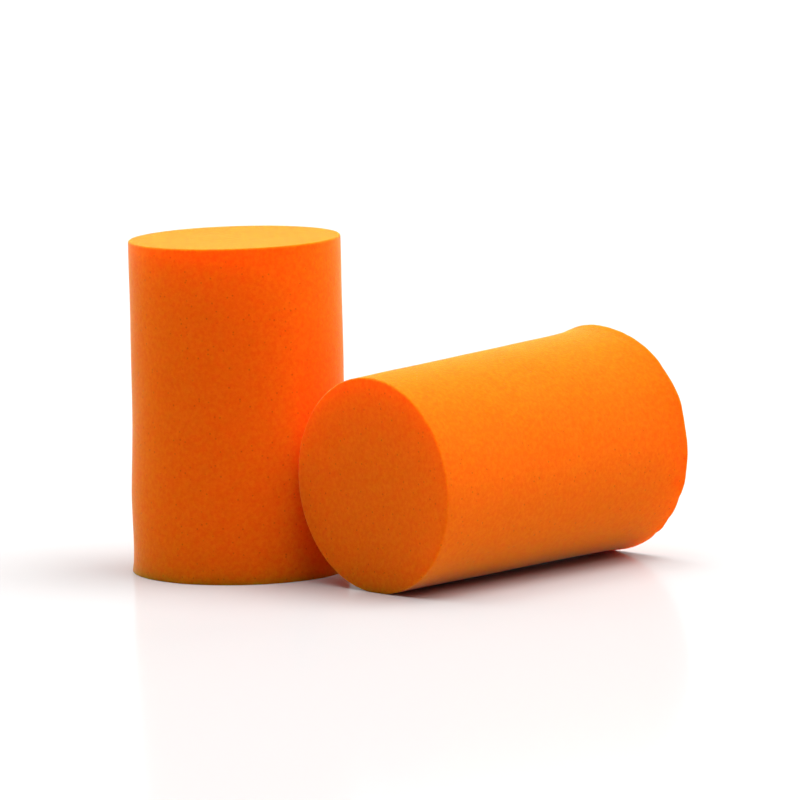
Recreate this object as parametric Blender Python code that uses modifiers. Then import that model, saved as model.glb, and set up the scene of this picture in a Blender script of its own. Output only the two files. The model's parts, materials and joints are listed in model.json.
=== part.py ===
"""A pair of cylindrical foam ear plugs: one stands on its wide end, the other lies beside it.

Each plug is one piece of slow-recovery foam. It was punched and cut from soft stock, so it isn't a
perfect cylinder: one end is a little wider and turns out in a thin lip where the foam spread, the
side draws in slightly at mid-length, and the narrow end is a knife cut that isn't quite square.

Units are metres and +Z is up. The origin is the centre of the standing plug's base, on the surface
that both plugs rest on. +Y runs away from someone who sees the standing plug on the left.
"""

import math
from typing import NamedTuple

import bpy
from mathutils import Vector

MM = 0.001

# Shape that both plugs share.
LIP = 0.15 * MM
LIP_REACH = 0.8 * MM
WAIST = 0.02 * MM
SIDE_RINGS = 12
AROUND = 72

# Knife that makes the narrow end.
TRIM_LENGTH = 1.0 * MM
KNIFE_SIZE = 40.0 * MM

# Where the lying plug is: the centre of its narrow end over the surface, and the direction in
# which it points away from there, measured from +Y towards +X.
NARROW_END_X = 7.77 * MM
NARROW_END_Y = -10.37 * MM
HEADING = math.radians(43.5)

SHARP_ANGLE = math.radians(40)


class Plug(NamedTuple):
    """Sizes and colour of one plug; its wide end is at its own z = 0."""

    name: str
    length: float
    wide_radius: float
    narrow_radius: float
    cut_slope: float
    colour: tuple

    @property
    def lip_radius(self):
        """Radius of the wide end's rim."""
        return self.wide_radius + LIP


STANDING = Plug(
    name="standing_plug",
    length=19.6 * MM,
    wide_radius=6.24 * MM,
    narrow_radius=6.22 * MM,
    cut_slope=0.01,
    colour=(0.82, 0.16, 0.012, 1.0),
)

LYING = Plug(
    name="lying_plug",
    length=19.85 * MM,
    wide_radius=6.55 * MM,
    narrow_radius=6.23 * MM,
    cut_slope=0.048,
    colour=(0.90, 0.20, 0.010, 1.0),
)


def clear_scene():
    """Remove every object of the scene, the startup ones included."""
    for thing in list(bpy.data.objects):
        bpy.data.objects.remove(thing, do_unlink=True)


def new_collection(name):
    """Make a collection in the scene."""
    collection = bpy.data.collections.new(name)
    bpy.context.scene.collection.children.link(collection)
    return collection


def move_to(thing, collection):
    """Put an object in one collection only."""
    for other in list(thing.users_collection):
        other.objects.unlink(thing)
    collection.objects.link(thing)


def foam_material(name, colour):
    """Dull, non-metallic foam of one colour."""
    material = bpy.data.materials.new(name)
    material.use_nodes = True
    shader = material.node_tree.nodes["Principled BSDF"]
    shader.inputs["Base Color"].default_value = colour
    shader.inputs["Roughness"].default_value = 0.9
    shader.inputs["Metallic"].default_value = 0.0
    return material


def side_radius(plug, height):
    """Radius of the plug at a height above its wide end."""
    along = height / plug.length
    taper = plug.wide_radius + (plug.narrow_radius - plug.wide_radius) * along
    waist = WAIST * math.sin(math.pi * min(along, 1.0))
    lip = LIP * math.exp(-height / LIP_REACH)
    return taper - waist + lip


def ring_heights(plug):
    """Heights of the side's rings, from the top down, closer together in the lip."""
    top = plug.length + TRIM_LENGTH
    return [top * (1.0 - step / SIDE_RINGS) ** 2 for step in range(SIDE_RINGS + 1)]


def turned_body(plug, collection):
    """Turn the plug's outline about Z, left long at the narrow end."""
    heights = ring_heights(plug)
    outline = [(side_radius(plug, height), 0.0, height) for height in heights]
    outline.insert(0, (0.0, 0.0, heights[0]))
    outline.append((0.0, 0.0, 0.0))
    mesh = bpy.data.meshes.new(plug.name)
    mesh.from_pydata(outline, [(i, i + 1) for i in range(len(outline) - 1)], [])
    body = bpy.data.objects.new(plug.name, mesh)
    collection.objects.link(body)
    screw = body.modifiers.new("turn", "SCREW")
    screw.axis = "Z"
    screw.steps = AROUND
    screw.render_steps = AROUND
    screw.use_merge_vertices = True
    screw.merge_threshold = 0.001 * MM
    return body


def knife_for(plug, body, collection):
    """A block whose lower face is the plane of the plug's slanted narrow end."""
    tilt = -math.atan(plug.cut_slope)
    normal = Vector((math.sin(tilt), 0.0, math.cos(tilt)))
    bpy.ops.mesh.primitive_cube_add(size=KNIFE_SIZE)
    knife = bpy.context.object
    knife.name = plug.name + "_knife"
    knife.location = Vector((0.0, 0.0, plug.length)) + normal * (KNIFE_SIZE / 2)
    knife.rotation_euler = (0.0, tilt, 0.0)
    knife.parent = body
    knife.hide_render = True
    knife.display_type = "WIRE"
    move_to(knife, collection)
    return knife


def keep_result(body, material):
    """Replace the body's mesh by what its modifiers make, smooth with sharp rims."""
    bpy.context.view_layer.update()
    seen = body.evaluated_get(bpy.context.evaluated_depsgraph_get())
    mesh = bpy.data.meshes.new_from_object(seen)
    body.modifiers.clear()
    body.data = mesh
    mesh.name = body.name
    mesh.materials.clear()
    mesh.materials.append(material)
    mesh.shade_smooth()
    mesh.set_sharp_from_angle(angle=SHARP_ANGLE)


def make_plug(plug, parts, cutters):
    """One plug at the origin, standing on its wide end."""
    body = turned_body(plug, parts)
    knife = knife_for(plug, body, cutters)
    trim = body.modifiers.new("trim", "BOOLEAN")
    trim.operation = "DIFFERENCE"
    trim.solver = "EXACT"
    trim.object = knife
    keep_result(body, foam_material(plug.name + "_foam", plug.colour))
    return body


def lay_down(body, plug):
    """Rest the plug on its side, on the rims of its two ends."""
    lean = math.atan((plug.lip_radius - plug.narrow_radius) / plug.length)
    reach = plug.length * math.cos(lean)
    body.rotation_euler = (math.pi / 2 + lean, 0.0, -HEADING)
    body.location = (
        NARROW_END_X + reach * math.sin(HEADING),
        NARROW_END_Y + reach * math.cos(HEADING),
        plug.lip_radius * math.cos(lean),
    )


def main():
    """Build the pair."""
    clear_scene()
    parts = new_collection("foam_ear_plugs")
    cutters = new_collection("cutters")
    make_plug(STANDING, parts, cutters)
    lay_down(make_plug(LYING, parts, cutters), LYING)


main()
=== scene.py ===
"""Looks of the foam ear plugs: two soft foam cylinders on a white table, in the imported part's frame."""
import json
import math
from typing import NamedTuple

import bpy
import numpy as np
from mathutils import Matrix, Vector, noise


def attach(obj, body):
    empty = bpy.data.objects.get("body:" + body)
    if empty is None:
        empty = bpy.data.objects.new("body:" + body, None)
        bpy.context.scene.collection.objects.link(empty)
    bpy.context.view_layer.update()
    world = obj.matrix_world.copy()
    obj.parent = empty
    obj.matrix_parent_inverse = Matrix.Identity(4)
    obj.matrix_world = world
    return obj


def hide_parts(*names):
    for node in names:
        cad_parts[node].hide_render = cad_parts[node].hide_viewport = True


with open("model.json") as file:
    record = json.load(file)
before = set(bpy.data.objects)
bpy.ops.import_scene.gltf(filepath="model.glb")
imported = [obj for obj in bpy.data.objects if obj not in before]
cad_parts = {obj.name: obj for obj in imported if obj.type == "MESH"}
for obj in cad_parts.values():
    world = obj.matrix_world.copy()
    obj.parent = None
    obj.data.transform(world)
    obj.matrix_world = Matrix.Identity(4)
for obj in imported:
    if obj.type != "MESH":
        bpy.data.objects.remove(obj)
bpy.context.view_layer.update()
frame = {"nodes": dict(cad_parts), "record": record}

MM = 0.001

# --- Mesh density -------------------------------------------------------------------------------
AROUND = 384                      # points round a rim; halves towards the middle of an end face
MOST_HALVINGS = 5
SIDE_ROWS = 130
SIDE_CROWDING = 0.11              # how much closer the side's rows are near the ends; 0 is even
ROUNDING_ROWS = 4
RING_STEP = 0.115 * MM            # spacing of the rings on an end face

# --- Shape of soft, punched and knife-cut foam --------------------------------------------------
RIM_ROUNDING = 0.10 * MM          # how far a cut edge is worn round
OVAL = 0.035 * MM                 # how far the punched outline is from a true circle
OVAL_TWIST = 60.0                 # how fast the oval turns along the plug, in radians per metre
SIDE_WAVES = 0.020 * MM           # slow dents and swells of the side
SIDE_WAVE_SIZE = 3.1 * MM
SKIN_GRAIN = 0.004 * MM           # fine unevenness of the skin
SKIN_GRAIN_SIZE = 0.35 * MM
LIP_RAG = 0.03 * MM               # unevenness of the wide end's lip
LIP_REACH = 0.7 * MM              # how far along the side it fades
CUT_RAG = 0.012 * MM              # unevenness of the narrow end's edge
CUT_REACH = 0.25 * MM
CUT_RAG_SIZE = 0.05               # in parts of the radius
SHEAR_POWER = 6                   # how close to its end the side follows the slanted cut
END_DISH = 0.05 * MM              # how far an end face is hollow in its middle
END_GRAIN = 0.006 * MM            # fine and slow unevenness of an end face
END_GRAIN_SIZE = 0.3 * MM
END_WAVES = 0.012 * MM
END_WAVE_SIZE = 2.2 * MM
REST_SINK = 0.03 * MM             # how far a plug's own weight presses its lowest points flat

# Layers of the lip's rag: size in parts of the radius, strength, and what is added to the seed.
LIP_LAYERS = [(0.28, 1.0, 9), (0.10, 0.6, 12), (0.035, 0.35, 15)]

# Parts of a plug's surface.
WIDE_END, SIDE, CUT_END = range(3)


class Mark(NamedTuple):
    """A dent or swell in a plug's side, fading out all round its middle."""

    around: float                 # where round the plug, in degrees
    height: float                 # how far from the wide end
    width: float                  # how far it reaches round the plug
    reach: float                  # how far it reaches along the plug
    out: float                    # how far it stands out, or less than 0 for a dent


STANDING_MARKS = [
    Mark(185, 4.6 * MM, 4.5 * MM, 3.2 * MM, 0.15 * MM),
    Mark(355, 15.0 * MM, 4.0 * MM, 7.0 * MM, 0.04 * MM),
    Mark(238, 0.0, 0.5 * MM, 0.5 * MM, 0.04 * MM),
    Mark(300, 0.0, 0.4 * MM, 0.4 * MM, -0.03 * MM),
]
LYING_MARKS = [
    Mark(44, 0.0, 3.4 * MM, 2.6 * MM, 0.17 * MM),
    Mark(25, 0.0, 0.9 * MM, 1.0 * MM, 0.13 * MM),
    Mark(43, 0.0, 0.35 * MM, 0.4 * MM, -0.03 * MM),
    Mark(-3, 0.0, 2.0 * MM, 2.0 * MM, 0.04 * MM),
    Mark(-19, 0.0, 0.6 * MM, 0.7 * MM, 0.04 * MM),
    Mark(-27, 0.0, 0.3 * MM, 0.3 * MM, -0.04 * MM),
    Mark(-41, 0.0, 0.25 * MM, 0.3 * MM, -0.04 * MM),
    Mark(-48, 0.0, 0.3 * MM, 0.3 * MM, 0.04 * MM),
    Mark(-53, 0.0, 0.25 * MM, 0.3 * MM, -0.04 * MM),
    Mark(98, 0.0, 1.2 * MM, 0.7 * MM, 0.05 * MM),
]

# --- Foam's look --------------------------------------------------------------------------------
FOAM_LIGHT = (1.0, 0.180, 0.0045, 1.0)
FOAM_DARK = (0.95, 0.130, 0.0025, 1.0)
SCATTER = 3.2 * MM                # how far red light travels inside the foam
SCATTER_RGB = (1.0, 0.12, 0.03)   # the same for red, green and blue, in parts of that
MOTTLE_SIZE = 0.24 * MM
MOTTLE_BAND = (0.35, 0.65)        # noise values that are all dark and all light
PORE_SPACING = 0.30 * MM
PORE_EDGE = (0.10, 0.24)          # in parts of the spacing: a pore's floor and its rim
CLOSED_CELLS = 0.72               # share of the cells that show no pore
PORE_PAINTED_SHADE = 0.78                 # painted shade in a pore: its colour, in parts of the foam's
PORE_DEPTH = 0.5                  # a pore's depth, in parts of the grain's height
GRAIN_SIZE = 0.12 * MM
GRAIN_HEIGHT = 0.03 * MM
DULLNESS = (0.78, 0.95)           # lowest and highest roughness

# --- Table, light and camera --------------------------------------------------------------------
TABLE_SIZE = 12.0
TABLE_WHITE = (0.55, 0.55, 0.55, 1.0)
WALL_WHITE, CEILING_WHITE = 0.9, 0.1
WALL_FADE = (0.01, 0.04)          # heights over the horizon, as sines, between which walls fade

# Broad, far-off lights: azimuth (0 is the camera's side and 90 its right), elevation, strength,
# and width. The angles are in degrees.
LIGHTS = {
    "overhead": (0, 90, 2.7, 60),
    "right": (80, 58, 2.15, 50),
    "left": (225, 58, 0.8, 50),
    "back_right": (135, 14, 1.15, 45),
    "back": (180, 14, 0.52, 45),
    "back_left": (225, 14, 0.58, 45),
}

CAMERA_TARGET = Vector((9.48 * MM, 0.0, 9.76 * MM))
CAMERA_DISTANCE = 0.4036
CAMERA_ELEVATION = math.radians(7.63)
CAMERA_ROLL = math.radians(-1.28)
CAMERA_LENS = 309.8
CAMERA_SENSOR = 36.0


# --- Shape --------------------------------------------------------------------------------------
def noise_at(points, size, seed):
    """Smooth noise from -1 to 1 at each point, with features of about the given size."""
    shift = Vector((13.7 * seed, 7.1 * seed, 3.3 * seed))
    return np.array([noise.noise(Vector(p) / size + shift) for p in points])


def smooth_step(value, low, high):
    """0 below low, 1 above high and a smooth ramp between."""
    t = np.clip((value - low) / (high - low), 0.0, 1.0)
    return t * t * (3.0 - 2.0 * t)


class PlugShape:
    """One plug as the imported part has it: its own axes, length, outline and slanted cut."""

    def __init__(self, node, wide_mount, cut_mount):
        mounts = {m["name"]: m for m in frame["record"]["mounts"]}
        wide = Vector(mounts[wide_mount]["pos_m"])
        cut = Vector(mounts[cut_mount]["pos_m"])
        along = (cut - wide).normalized()
        across = Vector((0, 0, 1)).cross(along)
        stands = across.length < 0.1
        across = Vector((1, 0, 0)) if stands else across.normalized()
        turn = Matrix((across, along.cross(across), along)).transposed()
        self.length = (cut - wide).length
        self.to_row = Matrix.Translation(wide) @ turn.to_4x4()
        normal = turn.transposed() @ Vector(mounts[cut_mount]["axis"])
        self.slope = (-normal.x / normal.z, -normal.y / normal.z)
        self.heights, self.radii = self.outline_of(frame["nodes"][node])

    def outline_of(self, cad):
        """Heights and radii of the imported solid's side; the middles of its ends are left out."""
        back = self.to_row.inverted()
        points = np.array([back @ v.co for v in cad.data.vertices])
        radius = np.hypot(points[:, 0], points[:, 1])
        on_side = radius > 0.5 * radius.max()
        order = np.argsort(points[on_side, 2])
        return points[on_side, 2][order], radius[on_side][order]

    def radius_at(self, height):
        """Radius of the side at a height."""
        return np.interp(height, self.heights, self.radii)


def face_gaps(rim):
    """How far in from the side each ring of an end face is, from its middle outwards."""
    steps = int((rim - RIM_ROUNDING) / RING_STEP)
    return [rim - k * (rim - RIM_ROUNDING) / steps for k in range(steps)]


def rounding_rings():
    """How far in from the side and from the end each ring of a worn rim is, end face first."""
    turns = [math.pi / 2 * k / ROUNDING_ROWS for k in range(ROUNDING_ROWS + 1)]
    return [(RIM_ROUNDING * (1 - math.sin(t)), RIM_ROUNDING * (1 - math.cos(t))) for t in turns]


def profile_rings(shape):
    """Rings from the middle of the wide end to the middle of the cut end.

    Each is (how far in from the side, height, part of the surface).
    """
    rings = [(gap, 0.0, WIDE_END) for gap in face_gaps(shape.radius_at(0.0))]
    rings += [(gap, rise, WIDE_END) for gap, rise in rounding_rings()]
    low, high = RIM_ROUNDING, shape.length - RIM_ROUNDING
    for k in range(1, SIDE_ROWS):
        t = k / SIDE_ROWS
        eased = t - SIDE_CROWDING * math.sin(2 * math.pi * t)
        rings.append((0.0, low + (high - low) * eased, SIDE))
    rings += [(gap, shape.length - drop, CUT_END) for gap, drop in reversed(rounding_rings())]
    inward = reversed(face_gaps(shape.radius_at(shape.length)))
    return rings + [(gap, shape.length, CUT_END) for gap in inward]


def ring_count(radius, rim):
    """Points in a ring: 1 in the middle, and otherwise halved each time the radius is."""
    if radius < 0.5 * RING_STEP:
        return 1
    return AROUND >> min(MOST_HALVINGS, int(math.log2(rim / radius)))


def side_growth(place, angle, height, shape, seed, marks):
    """How far each point moves out: oval outline, dents and swells, grain, and ragged edges."""
    grow = OVAL * np.cos(2 * angle + 1.1 * seed + OVAL_TWIST * height)
    grow += 0.5 * OVAL * np.cos(3 * angle - 2.3 * seed)
    grow += SIDE_WAVES * noise_at(place, SIDE_WAVE_SIZE, seed)
    grow += SKIN_GRAIN * noise_at(place, SKIN_GRAIN_SIZE, seed + 5)

    rim_line = np.column_stack([np.cos(angle), np.sin(angle), np.zeros(len(angle))])
    rag = sum(strength * noise_at(rim_line, size, seed + more) for size, strength, more in LIP_LAYERS)
    grow += LIP_RAG * rag * np.exp(-height / LIP_REACH)
    cut_edge = np.exp(-(shape.length - height) / CUT_REACH)
    grow += CUT_RAG * noise_at(rim_line, CUT_RAG_SIZE, seed + 21) * cut_edge

    for mark in marks:
        turned = np.angle(np.exp(1j * (angle - math.radians(mark.around))))
        off = turned * shape.radius_at(0.0) / mark.width
        grow += mark.out * np.exp(-off ** 2 - ((height - mark.height) / mark.reach) ** 2)
    return grow


def plug_mesh(shape, seed, marks):
    """Points (in the plug's own axes) and faces of the detailed foam plug."""
    points, rows = [], []
    for gap, height, part in profile_rings(shape):
        rim = shape.radius_at(height)
        count = ring_count(rim - gap, rim)
        rows.append((len(points), count))
        points += [(gap, height, 2 * math.pi * k / count, part) for k in range(count)]
    gap, height, angle, part = np.array(points).T
    rim = shape.radius_at(height)
    radius = rim - gap
    share = radius / rim
    direction = np.stack([np.cos(angle), np.sin(angle)], 1)
    place = np.column_stack([direction * radius[:, None], height])

    # The slanted cut shears the top of the plug; the side keeps its outline.
    tilt = place[:, 0] * shape.slope[0] + place[:, 1] * shape.slope[1]
    place[:, 2] += tilt * (height / shape.length) ** SHEAR_POWER

    # The side's unevenness fades quickly into the end faces.
    grow = side_growth(place, angle, height, shape, seed, marks)
    place[:, :2] += direction * (grow * share ** 3)[:, None]

    # The end faces are a little hollow, and uneven like cut foam.
    inward = 1.0 - share
    dish = END_DISH * smooth_step(inward, 0.0, 0.7)
    rough = END_GRAIN * noise_at(place, END_GRAIN_SIZE, seed + 31)
    rough += END_WAVES * noise_at(place, END_WAVE_SIZE, seed + 35)
    rough *= smooth_step(inward, 0.0, 0.05)
    place[:, 2] += np.where(part == WIDE_END, dish + np.abs(rough), 0.0)
    place[:, 2] -= np.where(part == CUT_END, dish - rough, 0.0)
    return place, ring_faces(rows)


def ring_faces(rows):
    """Faces between neighbouring rings, where a ring may have half its neighbour's points."""
    faces = []
    for (low, few), (high, many) in zip(rows, rows[1:]):
        if few == many:
            faces += [(low + k, low + (k + 1) % few, high + (k + 1) % few, high + k) for k in range(few)]
        elif few == 1:
            faces += [(low, high + (k + 1) % many, high + k) for k in range(many)]
        elif many == 1:
            faces += [(high, low + k, low + (k + 1) % few) for k in range(few)]
        elif many == 2 * few:
            for k in range(few):
                a, b = low + k, low + (k + 1) % few
                c, d, e = high + 2 * k, high + 2 * k + 1, high + (2 * k + 2) % many
                faces += [(a, d, c), (a, b, d), (b, e, d)]
        else:
            for k in range(many):
                a, b = high + k, high + (k + 1) % many
                c, d, e = low + 2 * k, low + 2 * k + 1, low + (2 * k + 2) % few
                faces += [(a, c, d), (a, d, b), (b, d, e)]
    return faces


def foam_plug(name, shape, seed, marks, material):
    """Make a plug's visible mesh in place."""
    place, faces = plug_mesh(shape, seed, marks)
    turn = np.array(shape.to_row.to_3x3())
    world = place @ turn.T + np.array(shape.to_row.translation)
    world[:, 2] = np.maximum(world[:, 2] - REST_SINK, 0.0)
    mesh = bpy.data.meshes.new(name)
    mesh.from_pydata(world.tolist(), [], faces)
    mesh.validate()
    mesh.shade_smooth()
    mesh.materials.append(material)
    plug = bpy.data.objects.new(name, mesh)
    bpy.context.scene.collection.objects.link(plug)
    return plug


# --- Materials ----------------------------------------------------------------------------------
def set_up(node, tree, sockets):
    """Give a node's sockets, by name or number, a value each or a link from another's output."""
    for socket, value in sockets.items():
        if isinstance(value, bpy.types.NodeSocket):
            tree.links.new(value, node.inputs[socket])
        else:
            node.inputs[socket].default_value = value


def add_node(tree, kind, sockets, **settings):
    """Add a node with the given settings and sockets."""
    node = tree.nodes.new(kind)
    for name, value in settings.items():
        setattr(node, name, value)
    set_up(node, tree, sockets)
    return node


def new_material(name):
    """A material's node tree and Principled shader, with the material itself."""
    material = bpy.data.materials.new(name)
    material.use_nodes = True
    return material, material.node_tree, material.node_tree.nodes["Principled BSDF"]


def foam_noise(tree, where, size, detail, rough):
    """Noise with features of about the given size."""
    sockets = {"Vector": where, "Scale": 1.0 / size, "Detail": detail, "Roughness": rough}
    return add_node(tree, "ShaderNodeTexNoise", sockets).outputs["Fac"]


def foam_skin(tree, where):
    """0 in the foam's open pores and 1 between them: small pits in some of the cells."""
    sockets = {"Vector": where, "Scale": 1.0 / PORE_SPACING}
    cells = add_node(tree, "ShaderNodeTexVoronoi", sockets).outputs
    floor, rim = PORE_EDGE
    sockets = {"Value": cells["Distance"], "From Min": floor, "From Max": rim}
    pit = add_node(tree, "ShaderNodeMapRange", sockets).outputs["Result"]
    split = add_node(tree, "ShaderNodeSeparateColor", {"Color": cells["Color"]})
    sockets = {0: split.outputs["Red"], 1: CLOSED_CELLS}
    closed = add_node(tree, "ShaderNodeMath", sockets, operation="LESS_THAN").outputs["Value"]
    return add_node(tree, "ShaderNodeMath", {0: pit, 1: closed}, operation="MAXIMUM").outputs["Value"]


def foam_colour(tree, where, skin):
    """Mottled orange, with painted shade darkening the pores."""
    mottle = foam_noise(tree, where, MOTTLE_SIZE, 4.0, 0.7)
    ramp = add_node(tree, "ShaderNodeValToRGB", {"Fac": mottle})
    for element, position, colour in zip(ramp.color_ramp.elements, MOTTLE_BAND, (FOAM_DARK, FOAM_LIGHT)):
        element.position = position
        element.color = colour
    # Painted shade: the pores' colour is darkened to stand in for the shade inside them.
    pore_painted_shade = add_node(tree, "ShaderNodeMapRange", {"Value": skin, "To Min": PORE_PAINTED_SHADE})
    sockets = {"Factor": 1.0, 6: ramp.outputs["Color"], 7: pore_painted_shade.outputs["Result"]}
    return add_node(tree, "ShaderNodeMix", sockets, data_type="RGBA", blend_type="MULTIPLY").outputs[2]


def foam_material(name):
    """Fine, closed-cell orange foam: mottled, pored, dull, and glowing where light goes through."""
    material, tree, shader = new_material(name)
    where = add_node(tree, "ShaderNodeTexCoord", {}).outputs["Object"]
    skin = foam_skin(tree, where)
    grain = foam_noise(tree, where, GRAIN_SIZE, 3.0, 0.6)
    sockets = {0: skin, 1: PORE_DEPTH, 2: grain}
    lumps = add_node(tree, "ShaderNodeMath", sockets, operation="MULTIPLY_ADD").outputs["Value"]
    sockets = {"Height": lumps, "Strength": 0.8, "Distance": GRAIN_HEIGHT}
    bump = add_node(tree, "ShaderNodeBump", sockets)
    sockets = {"Value": grain, "To Min": DULLNESS[0], "To Max": DULLNESS[1]}
    dull = add_node(tree, "ShaderNodeMapRange", sockets)
    set_up(shader, tree, {
        "Base Color": foam_colour(tree, where, skin),
        "Normal": bump.outputs["Normal"],
        "Roughness": dull.outputs["Result"],
        "IOR": 1.4,
        "Specular IOR Level": 0.0,
        "Subsurface Weight": 1.0,
        "Subsurface Radius": SCATTER_RGB,
        "Subsurface Scale": SCATTER,
        "Subsurface Anisotropy": 0.2,
        "Sheen Weight": 0.25,
        "Sheen Roughness": 0.3,
        "Sheen Tint": (1.0, 1.0, 1.0, 1.0),
    })
    return material


def table_material():
    """Plain white, with a faint and soft reflection."""
    material, tree, shader = new_material("white_table")
    set_up(shader, tree, {
        "Base Color": TABLE_WHITE,
        "Roughness": 0.7,
        "Specular IOR Level": 0.0,
        "Coat Weight": 0.3,
        "Coat Roughness": 0.15,
        "Coat IOR": 1.5,
    })
    return material


# --- Plugs --------------------------------------------------------------------------------------
standing = foam_plug(
    "standing_foam",
    PlugShape("standing_plug", "standing_base", "standing_cut_end"),
    seed=1,
    marks=STANDING_MARKS,
    material=foam_material("standing_plug_foam"),
)
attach(standing, "standing_plug")
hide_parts("standing_plug")

lying = foam_plug(
    "lying_foam",
    PlugShape("lying_plug", "lying_wide_end", "lying_cut_end"),
    seed=2,
    marks=LYING_MARKS,
    material=foam_material("lying_plug_foam"),
)
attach(lying, "lying_plug")
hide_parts("lying_plug")


# --- Setting ------------------------------------------------------------------------------------
def table():
    """Large white table that everything stands on."""
    bpy.ops.mesh.primitive_plane_add(size=TABLE_SIZE)
    top = bpy.context.object
    top.name = "table"
    top.data.materials.append(table_material())


def soft_light(name, azimuth, elevation, strength, width):
    """Add one of the lights."""
    a, e = math.radians(azimuth), math.radians(elevation)
    way = Vector((math.sin(a) * math.cos(e), -math.cos(a) * math.cos(e), math.sin(e)))
    light = bpy.data.lights.new(name, "SUN")
    light.energy = strength
    light.angle = math.radians(width)
    lamp = bpy.data.objects.new(name, light)
    lamp.rotation_euler = way.to_track_quat("Z", "Y").to_euler()
    bpy.context.scene.collection.objects.link(lamp)


def surroundings():
    """White surroundings: bright walls along the horizon that fade to a dimmer ceiling."""
    room = bpy.data.worlds.new("white_surroundings")
    room.use_nodes = True
    tree = room.node_tree
    where = add_node(tree, "ShaderNodeTexCoord", {}).outputs["Generated"]
    height = add_node(tree, "ShaderNodeSeparateXYZ", {"Vector": where}).outputs["Z"]
    low, high = WALL_FADE
    sockets = {"Value": height, "From Min": low, "From Max": high,
               "To Min": WALL_WHITE, "To Max": CEILING_WHITE}
    fade = add_node(tree, "ShaderNodeMapRange", sockets, interpolation_type="SMOOTHSTEP")
    tree.links.new(fade.outputs["Result"], tree.nodes["Background"].inputs["Color"])
    bpy.context.scene.world = room


def camera():
    """Long lens, a little above the table, aimed at the middle of the pair."""
    lens = bpy.data.cameras.new("camera")
    lens.lens = CAMERA_LENS
    lens.sensor_width = CAMERA_SENSOR
    lens.clip_start = 0.01
    way = Vector((0.0, -math.cos(CAMERA_ELEVATION), math.sin(CAMERA_ELEVATION)))
    tip = Matrix.Rotation(math.pi / 2 - CAMERA_ELEVATION, 4, "X")
    roll = Matrix.Rotation(CAMERA_ROLL, 4, "Z")
    view = bpy.data.objects.new("camera", lens)
    view.matrix_world = Matrix.Translation(CAMERA_TARGET + way * CAMERA_DISTANCE) @ tip @ roll
    bpy.context.scene.collection.objects.link(view)
    bpy.context.scene.camera = view


table()
surroundings()
for light_name, light_facts in LIGHTS.items():
    soft_light(light_name, *light_facts)
camera()
bpy.context.scene.view_settings.view_transform = "Standard"
